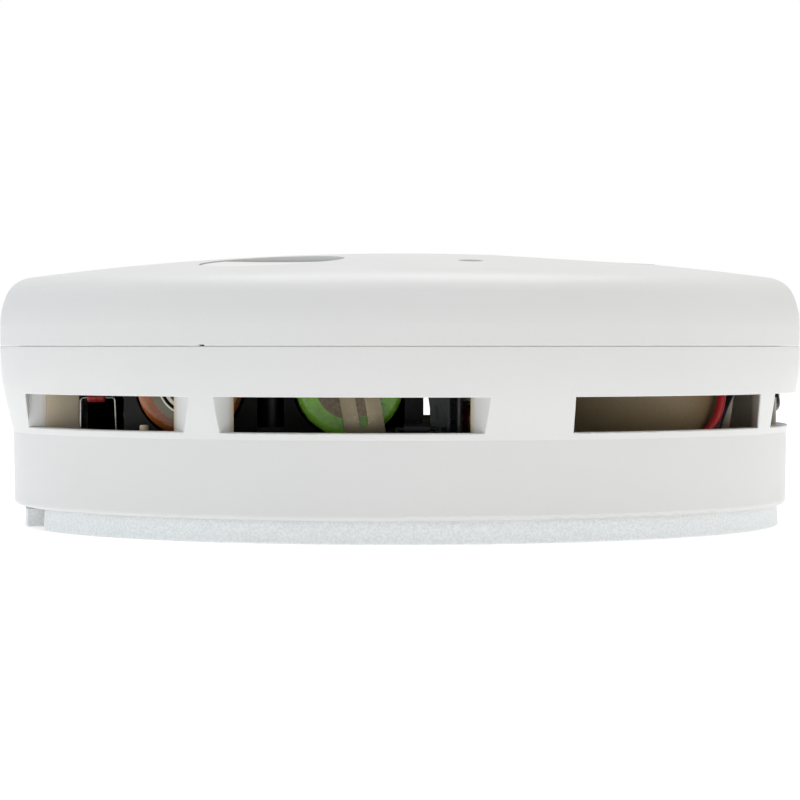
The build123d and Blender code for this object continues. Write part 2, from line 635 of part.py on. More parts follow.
def cell_can(x, front_y, lip_radius, nub_in_front):
    """The steel can inside the sleeve, with its raised end and the groove of the seal round it."""
    end_y = front_y + CELL_LENGTH
    can = rounded_cell(x, front_y, 0) - cell_sleeve(x, front_y, lip_radius)
    if nub_in_front:
        can -= lying_rod(SEAL_OUTER, x, CELL_Z, front_y - 1, front_y + 0.4)
        can += lying_rod(SEAL_INNER, x, CELL_Z, front_y - 0.2, front_y + 1)
        nub = lying_rod(NUB_RADIUS, x, CELL_Z, front_y - NUB_LENGTH, front_y + 1)
        tip = nub.edges().group_by(Axis.Y)[0]
    else:
        nub = lying_rod(NUB_RADIUS, x, CELL_Z, end_y - 1, end_y + NUB_LENGTH)
        tip = nub.edges().group_by(Axis.Y)[-1]
    return can + fillet(tip, 0.4)


def green_cell_can():
    return green_turn() * cell_can(GREEN_X, GREEN_FRONT_Y, GREEN_LIP_RADIUS, False)


def green_cell_sleeve():
    return green_turn() * cell_sleeve(GREEN_X, GREEN_FRONT_Y, GREEN_LIP_RADIUS)


def orange_cell_can():
    return cell_can(ORANGE_X, ORANGE_FRONT_Y, ORANGE_LIP_RADIUS, True)


def orange_cell_sleeve():
    return cell_sleeve(ORANGE_X, ORANGE_FRONT_Y, ORANGE_LIP_RADIUS)


def front_contact(x, face_y, tilt):
    """A slotted nickel strip that stands in front of a cell end and bears on it."""
    y1 = face_y - 0.05
    y0 = y1 - STRIP_THICKNESS
    strip = block(-STRIP_WIDTH / 2, STRIP_WIDTH / 2, y0, y1, BOARD_LOW - 1, 26.0)
    slot = block(-STRIP_SLOT, STRIP_SLOT, y0 - 1, y1 + 1, STRIP_SLOT_LOW, 24.0)
    slot += lying_rod(STRIP_SLOT, 0, STRIP_SLOT_LOW, y0 - 1, y1 + 1)
    turn = Pos(x, 0, CELL_Z) * Rot(0, tilt, 0) * Pos(0, 0, -CELL_Z)
    strip = turn * (strip - slot)
    return strip & block(x - 10, x + 10, y0 - 5, y1 + 5, BOARD_TOP, 30)


def green_cell_contact():
    return green_turn() * front_contact(GREEN_X + GREEN_STRIP_SHIFT, GREEN_FRONT_Y, GREEN_STRIP_TILT)


def orange_cell_contact():
    return front_contact(ORANGE_X + ORANGE_STRIP_SHIFT, ORANGE_FRONT_Y - NUB_LENGTH, 0)


def rear_cell_contact():
    """One strip joins the rear ends of both cells, with a bowed tongue for the raised end."""
    nub_end = green_turn() * Pos(GREEN_X, GREEN_FRONT_Y + CELL_LENGTH + NUB_LENGTH, 0)
    x = nub_end.position.X
    tip_y = nub_end.position.Y + 0.3
    y = ORANGE_FRONT_Y + CELL_LENGTH + 0.1
    strip = block(ORANGE_X - 3.5, GREEN_X, y, y + STRIP_THICKNESS, 17.5, 23.5)
    bow = block(x - 2.6, x + 2.6, tip_y, y + 0.2, 18.2, 18.6)
    tip = block(x - 2.6, x + 2.6, tip_y, tip_y + STRIP_THICKNESS, 18.2, 22.8)
    return strip + bow + tip


# ---- Smoke chamber ----
def chamber_base():
    low = BOARD_TOP
    vane_low = low + CHAMBER_FLOOR - 0.2
    vane_top = CHAMBER_CAP_LOW
    base = rod(CHAMBER_RADIUS, low, low + CHAMBER_FLOOR, CHAMBER_AT)
    arm_inner = CHAMBER_RADIUS - VANE_DEPTH
    arm = block(arm_inner, CHAMBER_RADIUS - 0.6, -VANE_HALF, VANE_HALF, vane_low, vane_top)
    hook = block(-VANE_HALF, 2.4, -VANE_HALF, VANE_HALF, vane_low, vane_top)
    vane = arm + Pos(arm_inner, 0, 0) * Rot(0, 0, 125) * hook
    for index in range(VANE_COUNT):
        base += Pos(*CHAMBER_AT, 0) * Rot(0, 0, 360 / VANE_COUNT * index) * vane
    return base


def chamber_cap():
    cap = rod(CHAMBER_RADIUS, CHAMBER_CAP_LOW, CHAMBER_CAP_LOW + 1.4, CHAMBER_AT)
    return fillet(cap.edges().group_by(Axis.Z)[-1], 0.6)


def optic_place(side):
    """Where the emitter (-1) or the receiver (1) stands inside the chamber."""
    angle = radians(90 + side * OPTIC_ANGLE / 2)
    x, y = CHAMBER_AT
    return (x + OPTIC_CIRCLE * cos(angle), y - OPTIC_CIRCLE * sin(angle))


def infrared_led():
    place = optic_place(-1)
    low = BOARD_TOP + CHAMBER_FLOOR
    body = rod(1.5, low, low + 4.0, place) + Pos(*place, low + 4.0) * Sphere(1.5)
    return body + rod(1.9, low, low + 0.9, place)


def photodiode():
    x, y = optic_place(1)
    low = BOARD_TOP + CHAMBER_FLOOR
    return block(x - 2.2, x + 2.2, y - 1.4, y + 1.4, low, low + 5.2)


def insect_screen():
    """A perforated strip inside the wall that guards the vent beside the smoke chamber."""
    low = FLOOR_TOP
    high = SCREEN_TOP
    outer = SCREEN_RADIUS + SCREEN_THICKNESS
    screen = sector(SCREEN_RADIUS, outer, SCREEN_START, SCREEN_END, low, high)
    step = 3.2
    count = int((SCREEN_END - SCREEN_START) / step) - 1
    for row in range(4):
        for column in range(count):
            angle = SCREEN_START + step * (column + 1) + (step / 2 if row % 2 else 0)
            x, y = polar(SCREEN_RADIUS, angle)
            hole = Plane((x, y, VENT_LOW + 0.6 + row * 1.4), x_dir=(0, 0, 1), z_dir=(x, y, 0))
            screen -= hole * Cylinder(SCREEN_HOLE, 4)
    return screen


# ---- Sounder ----
def horn_enclosure():
    x, y = HORN_AT
    foot = HORN_FOOT_RADIUS
    rim = HORN_RADIUS
    outline = [
        (0, BOARD_TOP),
        (foot, BOARD_TOP),
        (rim, HORN_FLARE_TOP),
        (rim, HORN_TOP),
        (rim - HORN_WALL, HORN_TOP),
        (rim - HORN_WALL, HORN_SEAT_Z),
        (PIEZO_RADIUS - 0.8, HORN_SEAT_Z),
        (PIEZO_RADIUS - 0.8, BOARD_TOP + HORN_WALL),
        (0, BOARD_TOP + HORN_WALL),
    ]
    cup = Pos(x, y, 0) * turned(Polyline(*outline, close=True).edges())
    port = block(x + 12, x + 30, y - 7.0, y + 5.0, HORN_SEAT_Z - 1.6, HORN_TOP - 3.0)
    return cup - port


def horn_lid():
    x, y = HORN_AT
    lid = rod(HORN_RADIUS, HORN_TOP, HORN_TOP + 1.4, HORN_AT)
    spigot = HORN_RADIUS - HORN_WALL - 0.1
    lid += tube(spigot, spigot - 1.4, HORN_TOP - 2.5, HORN_TOP, HORN_AT)
    lid -= rod(4.5, 0, ALL_THROUGH, HORN_AT)
    lid += tube(6.0, 4.5, HORN_TOP, HORN_TOP + 4.2, HORN_AT)
    return lid


def piezo_disc():
    return rod(PIEZO_RADIUS, HORN_SEAT_Z, HORN_SEAT_Z + 0.3, HORN_AT)


def piezo_ceramic():
    low = HORN_SEAT_Z + 0.3
    return rod(PIEZO_RADIUS - 5.5, low, low + 0.25, HORN_AT)


def lead(points):
    """A held lead: straight runs joined by arcs as large as the runs allow."""
    spots = [Vector(*point) for point in points]
    radii = []
    for before, here, after in zip(spots, spots[1:], spots[2:]):
        run = min((here - before).length, (after - here).length)
        turn = radians((here - before).get_angle(after - here))
        radii.append(0.45 * run / tan(turn / 2))
    route = FilletPolyline(*spots, radius=radii)
    start = Plane(route @ 0, z_dir=route % 0)
    return sweep(start * Circle(LEAD_RADIUS), path=route)


def horn_lead_red():
    return lead([
        (43.2, -14.6, 23.3),
        (48.2, -18.0, 23.1),
        (44.4, -24.8, 20.6),
        (43.7, -25.6, 15.8),
        (40.2, -27.8, 11.9),
    ])


def horn_lead_black():
    return lead([
        (43.6, -10.6, 23.3),
        (50.8, -6.4, 23.8),
        (53.9, 1.2, 20.8),
        (54.8, -1.2, 16.0),
        (50.2, -7.8, 18.8),
        (47.9, -18.6, 21.8),
        (44.9, -23.0, 18.0),
        (42.6, -25.2, 11.9),
    ])


# ---- Switch, lamp and the other parts on the board ----
def test_switch():
    x, y = BUTTON_AT
    body = block(x - 3, x + 3, y - 3, y + 3, BOARD_TOP, SWITCH_BODY_TOP)
    body -= rod(PLUNGER_RADIUS + ROD_CLEARANCE, BOARD_TOP + 0.8, ALL_THROUGH, BUTTON_AT)
    return body


def switch_plunger():
    low = BOARD_TOP + 0.8 + BUTTON_TRAVEL + 0.3
    stem = rod(PLUNGER_RADIUS, low, PLUNGER_TOP, BUTTON_AT)
    return chamfer(stem.edges().group_by(Axis.Z)[-1], 0.3)


def indicator_led():
    body = rod(1.5, BOARD_TOP, 16.2, PIPE_AT) + Pos(*PIPE_AT, 16.2) * Sphere(1.5)
    return body + rod(1.9, BOARD_TOP, BOARD_TOP + 1.0, PIPE_AT)


def electrolytic_capacitors():
    group = []
    for x, y, radius, top in CAPACITORS:
        can = rod(radius, BOARD_TOP, top, (x, y))
        can = fillet(can.edges().group_by(Axis.Z)[-1], 0.4)
        group.append(can)
    return Compound(children=group)


def trimmer():
    x0, x1 = TRIMMER_X
    y0, y1 = TRIMMER_Y
    middle = (x0 + x1) / 2
    low = TRIMMER_LOW
    body = block(x0, x1, y0, y1, low, TRIMMER_TOP)
    body = chamfer(body.edges().filter_by(Axis.Y).group_by(Axis.Z)[0], 0.5)
    body -= block(x0 + 0.66, x0 + 1.14, y0 - 1, y0 + 0.5, 16.0, 17.9)
    for side in (-0.5, 0.5):
        body += rod(0.2, BOARD_TOP, low + 0.3, (middle + side, (y0 + y1) / 2))
    return body


def signal_diode():
    x, y = DIODE_AT
    z = DIODE_Z
    body = along_x(0.85, x - 1.7, x + 1.7, y, z)
    body += along_x(0.2, x - 2.6, x + 2.6, y, z)
    for end in (-2.6, 2.6):
        body += rod(0.2, BOARD_TOP, z, (x + end, y)) + Pos(x + end, y, z) * Sphere(0.2)
    return body


def thermal_link():
    """A small coated body held up on its two stiff leads."""
    y = LINK_Y
    top = LINK_TOP - LINK_WIRE
    route = FilletPolyline(
        (LINK_LEFT, y, BOARD_TOP),
        (LINK_LEFT, y, top),
        (LINK_RIGHT, y, top),
        (LINK_RIGHT + 0.3, y, BOARD_TOP),
        radius=LINK_BEND,
    )
    start = Plane(route @ 0, z_dir=route % 0)
    wire = sweep(start * Circle(LINK_WIRE), path=route)
    body = along_x(LINK_BODY_RADIUS, *LINK_BODY, y, top)
    body = fillet(body.edges().filter_by(GeomType.CIRCLE), 0.3)
    return wire + body


def controller_chip():
    body = block(-47.5, -40.5, -14.0, -9.6, BOARD_TOP + 0.2, BOARD_TOP + 1.7)
    for index in range(8):
        x = -46.9 + index * 0.83
        body += block(x - 0.2, x + 0.2, -15.0, -13.8, BOARD_TOP, BOARD_TOP + 0.8)
        body += block(x - 0.2, x + 0.2, -9.8, -8.6, BOARD_TOP, BOARD_TOP + 0.8)
    return body


def resistors():
    group = []
    for x, y in RESISTORS:
        z = BOARD_TOP + 1.0
        body = along_x(0.8, x - 1.6, x + 1.6, y, z)
        body += along_x(0.25, x - 3.2, x + 3.2, y, z)
        for end in (-3.2, 3.2):
            body += rod(0.25, BOARD_TOP, z, (x + end, y)) + Pos(x + end, y, z) * Sphere(0.25)
        group.append(body)
    return Compound(children=group)


def sounder_coil():
    x, y = COIL_AT
    core = rod(4.0, BOARD_TOP, BOARD_TOP + 1.0, COIL_AT)
    core += rod(2.9, BOARD_TOP, BOARD_TOP + 6.0, COIL_AT)
    core += rod(4.0, BOARD_TOP + 6.0, BOARD_TOP + 7.0, COIL_AT)
    return core


PARTS = (
    mounting_plate,
    release_tab,
    housing,
    front_cover,
    cover_screws,
    test_button,
    button_spring,
    light_pipe,
    circuit_board,
    board_screws,
    battery_holder,
    green_cell_can,
    green_cell_sleeve,
    orange_cell_can,
    orange_cell_sleeve,
    green_cell_contact,
    orange_cell_contact,
    rear_cell_contact,
    chamber_base,
    chamber_cap,
    insect_screen,
    infrared_led,
    photodiode,
    horn_enclosure,
    horn_lid,
    piezo_disc,
    piezo_ceramic,
    horn_lead_red,
    horn_lead_black,
    test_switch,
    switch_plunger,
    indicator_led,
    electrolytic_capacitors,
    trimmer,
    signal_diode,
    thermal_link,
    controller_chip,
    resistors,
    sounder_coil,
)

for make in PARTS:
    export_step(make(), f"parts/{make.__name__}.step")
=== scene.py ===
import json
import math

import bpy
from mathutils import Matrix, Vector


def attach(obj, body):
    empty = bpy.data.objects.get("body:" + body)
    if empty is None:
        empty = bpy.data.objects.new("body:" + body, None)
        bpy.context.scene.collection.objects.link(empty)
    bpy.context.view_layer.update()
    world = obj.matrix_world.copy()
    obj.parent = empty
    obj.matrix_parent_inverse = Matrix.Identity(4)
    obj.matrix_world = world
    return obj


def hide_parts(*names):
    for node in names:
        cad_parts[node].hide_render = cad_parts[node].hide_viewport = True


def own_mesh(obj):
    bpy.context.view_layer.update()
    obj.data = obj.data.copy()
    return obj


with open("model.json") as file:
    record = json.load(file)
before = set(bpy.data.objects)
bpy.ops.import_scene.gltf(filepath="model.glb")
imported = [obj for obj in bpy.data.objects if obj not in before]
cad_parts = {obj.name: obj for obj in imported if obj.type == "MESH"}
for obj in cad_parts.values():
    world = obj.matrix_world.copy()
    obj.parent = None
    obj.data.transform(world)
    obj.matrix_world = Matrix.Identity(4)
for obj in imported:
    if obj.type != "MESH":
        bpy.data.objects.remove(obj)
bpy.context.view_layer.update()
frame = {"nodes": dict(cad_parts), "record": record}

MM = 0.001
EDGE_REACH_OF_HIGHLIGHT_AND_WEAR = 0.25  # how far the painted edge highlight and the handling polish reach from a moulded edge, in millimetres
MIX_FIRST, MIX_SECOND, MIX_RESULT = 6, 7, 2  # the colour sockets of a Mix node
nodes = frame["nodes"]


# ---- Colours and small node helpers ----
def linear(value):
    """One channel of a display colour, 0 to 255, as linear light."""
    share = value / 255.0
    return share / 12.92 if share <= 0.04045 else ((share + 0.055) / 1.055) ** 2.4


def tone(red, green, blue, gain=1.0):
    return tuple(min(0.95, linear(channel) * gain) for channel in (red, green, blue)) + (1.0,)


def scaled(colour, factor):
    return tuple(min(0.97, channel * factor) for channel in colour[:3]) + (1.0,)


class Shader:
    """A material with a Principled surface, and short calls for the nodes that feed it."""

    def __init__(self, name):
        self.material = bpy.data.materials.new(name)
        self.material.use_nodes = True
        self.tree = self.material.node_tree
        self.tree.nodes.clear()
        self.surface = self.tree.nodes.new("ShaderNodeBsdfPrincipled")
        output = self.tree.nodes.new("ShaderNodeOutputMaterial")
        self.tree.links.new(self.surface.outputs["BSDF"], output.inputs["Surface"])
        self.place = self.tree.nodes.new("ShaderNodeTexCoord").outputs["Object"]

    def put(self, socket, value):
        """Links value if it is another node's output, and sets it otherwise."""
        if isinstance(value, bpy.types.NodeSocket):
            self.tree.links.new(value, socket)
        else:
            socket.default_value = value

    def set(self, **values):
        for name, value in values.items():
            self.put(self.surface.inputs[name.replace("_", " ")], value)

    def stretched(self, x=1.0, y=1.0, z=1.0):
        """The place in millimetres, with each direction scaled."""
        mapping = self.tree.nodes.new("ShaderNodeMapping")
        self.put(mapping.inputs["Vector"], self.place)
        mapping.inputs["Scale"].default_value = (x / MM, y / MM, z / MM)
        return mapping.outputs["Vector"]

    def noise(self, size, detail=2.0, rough=0.5, stretch=(1.0, 1.0, 1.0), twist=0.0):
        """Smooth noise from 0 to 1, with lumps about size millimetres across."""
        node = self.tree.nodes.new("ShaderNodeTexNoise")
        self.put(node.inputs["Vector"], self.stretched(*stretch))
        node.inputs["Scale"].default_value = 1.0 / size
        node.inputs["Detail"].default_value = detail
        node.inputs["Roughness"].default_value = rough
        node.inputs["Distortion"].default_value = twist
        return node.outputs["Fac"]

    def cells(self, size, feature="F1"):
        """The distance to the nearest of many scattered points, about size millimetres apart."""
        node = self.tree.nodes.new("ShaderNodeTexVoronoi")
        node.feature = feature
        self.put(node.inputs["Vector"], self.stretched())
        node.inputs["Scale"].default_value = 1.0 / size
        return node.outputs["Distance"]

    def fit(self, value, low, high, to_low=0.0, to_high=1.0):
        node = self.tree.nodes.new("ShaderNodeMapRange")
        node.clamp = True
        self.put(node.inputs["Value"], value)
        node.inputs["From Min"].default_value = low
        node.inputs["From Max"].default_value = high
        node.inputs["To Min"].default_value = to_low
        node.inputs["To Max"].default_value = to_high
        return node.outputs["Result"]

    def calc(self, kind, first, second=0.0, third=0.0):
        node = self.tree.nodes.new("ShaderNodeMath")
        node.operation = kind
        for socket, value in zip(node.inputs, (first, second, third)):
            self.put(socket, value)
        return node.outputs["Value"]

    def mix(self, share, first, second):
        node = self.tree.nodes.new("ShaderNodeMix")
        node.data_type = "RGBA"
        self.put(node.inputs["Factor"], share)
        self.put(node.inputs[MIX_FIRST], first)
        self.put(node.inputs[MIX_SECOND], second)
        return node.outputs[MIX_RESULT]

    def axis(self, name):
        node = self.tree.nodes.new("ShaderNodeSeparateXYZ")
        self.put(node.inputs["Vector"], self.stretched())
        return node.outputs[name]

    def bump(self, height, depth, under=None):
        """Raises the surface by height, where 1 is depth millimetres."""
        node = self.tree.nodes.new("ShaderNodeBump")
        node.inputs["Strength"].default_value = 1.0
        node.inputs["Distance"].default_value = depth * MM
        self.put(node.inputs["Height"], height)
        if under is not None:
            self.put(node.inputs["Normal"], under)
        return node.outputs["Normal"]

    def edges(self, reach):
        """A mask that is 1 on sharp edges and fades to 0 about reach millimetres from them."""
        soft = self.tree.nodes.new("ShaderNodeBevel")
        soft.samples = 4
        soft.inputs["Radius"].default_value = reach * MM
        plain = self.tree.nodes.new("ShaderNodeNewGeometry")
        dot = self.tree.nodes.new("ShaderNodeVectorMath")
        dot.operation = "DOT_PRODUCT"
        self.put(dot.inputs[0], soft.outputs["Normal"])
        self.put(dot.inputs[1], plain.outputs["Normal"])
        return self.fit(dot.outputs["Value"], 0.99, 0.75)


# ---- Materials ----
def moulded(name, colour, rough=0.42, grain=0.35, depth=0.004, vary=0.03, edge_lift=1.08, speck=0.0,
            inside=None):
    """Moulded plastic: eroded grain, faint flow marks, slow colour drift, and edges that handling polishes
    glossier and that are painted lighter as a painted edge highlight.

    With inside as (radius, colour), the wall's inner side, nearer the Z axis than radius, is painted in that
    colour instead, as painted shade with warm bounced light inside the housing."""
    s = Shader(name)
    drift = s.noise(26.0, 3.0, 0.55, twist=0.4)
    body = s.mix(s.fit(drift, 0.3, 0.7), scaled(colour, 1 - vary), scaled(colour, 1 + vary))
    fine = s.noise(0.5, 3.0, 0.6)
    body = s.mix(s.fit(fine, 0.35, 0.65, 0.0, 0.35), body, scaled(colour, 1 - 1.6 * vary))
    if speck:
        dots = s.fit(s.cells(1.7), 0.16, 0.08)
        body = s.mix(s.calc("MULTIPLY", dots, speck), body, scaled(colour, 0.55))
    # Edges lightened by edge_lift: partly handling polish, partly a painted edge highlight.
    edge_highlight_and_wear = s.calc("MULTIPLY", s.edges(EDGE_REACH_OF_HIGHLIGHT_AND_WEAR), s.fit(s.noise(1.8), 0.3, 0.6, 0.35, 1.0))
    body = s.mix(edge_highlight_and_wear, body, scaled(colour, edge_lift))
    if inside:
        radius, inner_shade_colour = inside
        squares = [s.calc("MULTIPLY", s.axis(name), s.axis(name)) for name in ("X", "Y")]
        away = s.calc("SQRT", s.calc("ADD", *squares))
        # The inner side is painted darker and warmer: painted shade with warm bounced light inside the closed
        # housing.
        inner_painted_shade = s.mix(s.fit(s.noise(14.0, 3.0), 0.3, 0.7), scaled(inner_shade_colour, 0.9), scaled(inner_shade_colour, 1.08))
        body = s.mix(s.fit(away, radius + 0.9, radius), body, inner_painted_shade)
    smears = s.noise(11.0, 4.0, 0.6, stretch=(1.0, 1.0, 2.2))
    gloss = s.fit(smears, 0.3, 0.7, rough - 0.05, rough + 0.07)
    gloss = s.calc("SUBTRACT", gloss, s.calc("MULTIPLY", edge_highlight_and_wear, 0.08))
    skin = s.bump(s.cells(grain, "SMOOTH_F1"), depth)
    waves = s.bump(s.noise(9.0, 2.0), 0.02, skin)
    s.set(Base_Color=body, Roughness=gloss, Normal=waves, Metallic=0.0)
    s.surface.inputs["IOR"].default_value = 1.5
    return s.material


def metal(name, colour, rough=0.3, brush=(1.0, 12.0, 12.0), stain=(0.30, 0.24, 0.17), stained=0.25):
    """Drawn or rolled metal: fine lines along one direction, dull patches and darker stained patches scattered
    over it.
    """
    s = Shader(name)
    lines = s.noise(0.5, 3.0, 0.6, stretch=brush)
    patches = s.noise(3.5, 4.0, 0.6, twist=0.5)
    body = s.mix(s.fit(lines, 0.3, 0.7), scaled(colour, 0.86), scaled(colour, 1.06))
    body = s.mix(s.fit(patches, 0.5, 0.75, 0.0, stained), body, stain + (1.0,))
    # Edges painted lighter: partly wear, partly a painted edge highlight.
    edge_highlight_and_wear = s.edges(0.15)
    body = s.mix(s.calc("MULTIPLY", edge_highlight_and_wear, 0.6), body, scaled(colour, 1.2))
    gloss = s.fit(patches, 0.3, 0.7, rough - 0.06, rough + 0.14)
    s.set(Base_Color=body, Roughness=gloss, Metallic=1.0, Normal=s.bump(lines, 0.004))
    return s.material


def cell_end(name, colour, axis_x, axis_z, bands):
    """Plated cell steel whose flat end is painted in rings, each between two distances from the cell's axis:
    bright rings as painted highlights on rounded edges, a black ring as painted shade in a groove.
    """
    s = Shader(name)
    across = s.calc("SUBTRACT", s.axis("X"), axis_x)
    up = s.calc("SUBTRACT", s.axis("Z"), axis_z)
    away = s.calc("SQRT", s.calc("ADD", s.calc("MULTIPLY", across, across), s.calc("MULTIPLY", up, up)))
    patches = s.noise(3.5, 4.0, 0.6, twist=0.5)
    specks = s.noise(0.35, 4.0, 0.7)
    body = s.mix(s.fit(specks, 0.35, 0.65), scaled(colour, 0.7), scaled(colour, 1.15))
    near_axis = s.fit(s.axis("X"), axis_x + 8.0, axis_x + 7.5)
    for low, high, paint in bands:
        inside = s.calc("MULTIPLY", s.fit(away, low, low + 0.08), s.fit(away, high, high - 0.08))
        body = s.mix(s.calc("MULTIPLY", inside, near_axis), body, paint)
    # Edges painted much lighter: a painted highlight on the rims.
    body = s.mix(s.calc("MULTIPLY", s.edges(0.15), 0.4), body, scaled(colour, 1.6))
    s.set(Base_Color=body, Roughness=s.fit(patches, 0.3, 0.7, 0.26, 0.42), Metallic=1.0)
    s.set(Normal=s.bump(specks, 0.008))
    return s.material


def clear(name, colour, rough=0.06, ior=1.49, passes=0.9):
    """Clear or milky moulded plastic with faint haze; passes is the share of light it lets through."""
    s = Shader(name)
    haze = s.noise(1.2, 3.0, 0.6)
    body = s.mix(haze, scaled(colour, 0.94), colour)
    s.set(Base_Color=body, Roughness=s.fit(haze, 0.3, 0.7, rough, rough + 0.08))
    s.set(Normal=s.bump(s.noise(2.0), 0.006))
    s.surface.inputs["Transmission Weight"].default_value = passes
    s.surface.inputs["IOR"].default_value = ior
    return s.material


def film(name, colour, rough=0.28):
    """Shrunk plastic film on a cell: glossy, with fine creases across it and scuffs."""
    s = Shader(name)
    creases = s.noise(1.3, 4.0, 0.65, stretch=(1.0, 3.0, 1.0), twist=0.8)
    body = s.mix(s.fit(creases, 0.35, 0.65), scaled(colour, 0.85), scaled(colour, 1.12))
    scuffs = s.fit(s.noise(0.7, 5.0, 0.7, stretch=(1.0, 0.25, 1.0)), 0.62, 0.72)
    body = s.mix(s.calc("MULTIPLY", scuffs, 0.35), body, scaled(colour, 1.5))
    # Edges painted lighter: partly wear, partly a painted edge highlight.
    edge_highlight_and_wear = s.edges(0.2)
    body = s.mix(s.calc("MULTIPLY", edge_highlight_and_wear, 0.5), body, scaled(colour, 1.35))
    gloss = s.fit(creases, 0.3, 0.7, rough - 0.06, rough + 0.12)
    s.set(Base_Color=body, Roughness=gloss, Normal=s.bump(creases, 0.03))
    s.surface.inputs["Coat Weight"].default_value = 0.4
    s.surface.inputs["Coat Roughness"].default_value = 0.15
    return s.material


def laminate(name, colour):
    """Circuit board: woven glass under green lacquer, with copper tracks showing through it."""
    s = Shader(name)
    weave_x = s.calc("SINE", s.calc("MULTIPLY", s.axis("X"), 12.0))
    weave_y = s.calc("SINE", s.calc("MULTIPLY", s.axis("Y"), 12.0))
    weave = s.fit(s.calc("MULTIPLY", weave_x, weave_y), -1.0, 1.0)
    body = s.mix(weave, scaled(colour, 0.85), scaled(colour, 1.15))
    bricks = s.tree.nodes.new("ShaderNodeTexBrick")
    s.put(bricks.inputs["Vector"], s.stretched(0.16, 0.16, 0.0))
    bricks.inputs["Scale"].default_value = 1.0
    bricks.inputs["Mortar Size"].default_value = 0.05
    bricks.inputs["Color1"].default_value = (0.0, 0.0, 0.0, 1.0)
    bricks.inputs["Color2"].default_value = (0.0, 0.0, 0.0, 1.0)
    bricks.inputs["Mortar"].default_value = (1.0, 1.0, 1.0, 1.0)
    track = bricks.outputs["Color"]
    body = s.mix(track, body, scaled(colour, 1.7))
    s.set(Base_Color=body, Roughness=s.fit(s.noise(4.0), 0.3, 0.7, 0.28, 0.42))
    s.set(Normal=s.bump(track, 0.03, s.bump(weave, 0.006)))
    return s.material


def painted(name, colour, low, high, pitch=0.0, bands=()):
    """A small part's painted body, with its bare tinned leads beyond low and high along X."""
    s = Shader(name)
    along = s.axis("X")
    if pitch:
        along = s.calc("WRAP", along, high + pitch / 2, low - pitch / 2)
    body = s.mix(s.noise(0.5, 3.0), scaled(colour, 0.86), scaled(colour, 1.14))
    for place, paint in bands:
        gap = s.calc("ABSOLUTE", s.calc("SUBTRACT", along, place))
        body = s.mix(s.fit(gap, 0.2, 0.15), body, paint)
    inside = s.calc("MULTIPLY", s.fit(along, low - 0.05, low), s.fit(along, high + 0.05, high))
    tinned = s.mix(s.noise(0.4, 3.0), tone(150, 148, 142), tone(214, 212, 206))
    s.set(Base_Color=s.mix(inside, tinned, body), Metallic=s.calc("SUBTRACT", 1.0, inside))
    s.set(Roughness=s.fit(s.noise(0.9), 0.3, 0.7, 0.24, 0.4), Normal=s.bump(s.noise(0.5, 3.0), 0.02))
    return s.material


def mottled(name, colour, rough=0.5):
    """Coarsely eroded plastic: fine raised specks that catch the light, over a cloudy colour."""
    s = Shader(name)
    drift = s.noise(22.0, 3.0, 0.55, twist=0.4)
    body = s.mix(s.fit(drift, 0.3, 0.7), scaled(colour, 0.985), scaled(colour, 1.015))
    specks = s.noise(0.32, 4.0, 0.7)
    body = s.mix(s.fit(specks, 0.4, 0.6), scaled(colour, 0.86), body)
    # Edges painted lighter: partly wear, partly a painted edge highlight.
    edge_highlight_and_wear = s.calc("MULTIPLY", s.edges(0.2), s.fit(s.noise(1.8), 0.3, 0.6, 0.3, 1.0))
    body = s.mix(edge_highlight_and_wear, body, scaled(colour, 1.05))
    skin = s.bump(specks, 0.08)
    s.set(Base_Color=body, Roughness=s.fit(drift, 0.3, 0.7, rough - 0.05, rough + 0.07))
    s.set(Normal=s.bump(s.noise(7.0, 2.0), 0.02, skin))
    s.surface.inputs["IOR"].default_value = 1.5
    return s.material


def winding(name, colour):
    """Enamelled copper wire wound round a core, as fine ridges up its height, with the valleys between turns
    painted darker as painted shade.
    """
    s = Shader(name)
    rows = s.fit(s.calc("SINE", s.calc("MULTIPLY", s.axis("Z"), 26.0)), -1.0, 1.0)
    body = s.mix(rows, scaled(colour, 0.45), scaled(colour, 1.1))
    s.set(Base_Color=body, Roughness=s.fit(s.noise(1.0), 0.3, 0.7, 0.22, 0.34))
    s.set(Metallic=0.9, Normal=s.bump(rows, 0.06))
    return s.material


ORANGE_CELL_X, ORANGE_CELL_Z = -28.0, 20.5
LINK_BODY_LOW, LINK_BODY_HIGH = -42.8, -40.3
HOUSING_INNER_RADIUS = 53.5
cover_colour = tone(219, 219, 217)
housing_colour = tone(219, 219, 217)
plate_colour = tone(236, 240, 247, 1.1)

